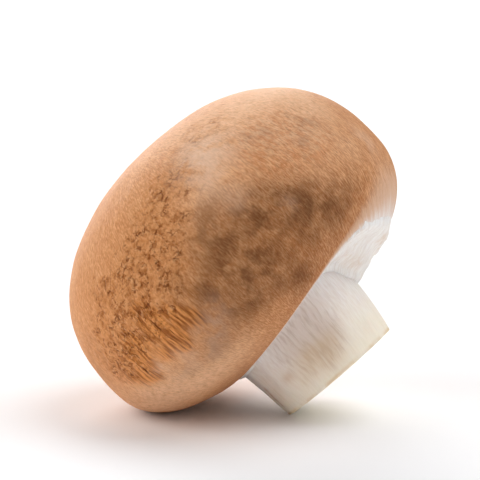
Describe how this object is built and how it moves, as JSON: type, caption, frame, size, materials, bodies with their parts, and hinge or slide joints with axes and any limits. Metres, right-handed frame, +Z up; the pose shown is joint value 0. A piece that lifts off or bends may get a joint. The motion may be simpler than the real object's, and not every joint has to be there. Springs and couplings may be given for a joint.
{
  "type": "button mushroom",
  "caption": "Closed-cup brown button mushroom, picked and trimmed, lying on its side with a torn veil under the cap and a short cut stem.",
  "frame": {"origin": "on the surface that the mushroom lies on, under the middle of its box", "axes": "+Z up; +X the way the stem points, with the stem end down; +Y across the cap, its widest extent"},
  "size_m": [0.0444, 0.05, 0.0443],
  "materials": {
    "cap_skin": "matt brown skin with fine radial fibres, pits, pale bloom and darker bruises",
    "veil_membrane": "matt off-white fibrous membrane, folded, with cream stains",
    "stem_flesh": "matt ivory flesh with fine lengthwise fibres, tan shading and a cut end"
  },
  "bodies": {
    "root": {"cap": "cap_skin", "veil": "veil_membrane", "stem": "stem_flesh"}
  },
  "joints": []
}
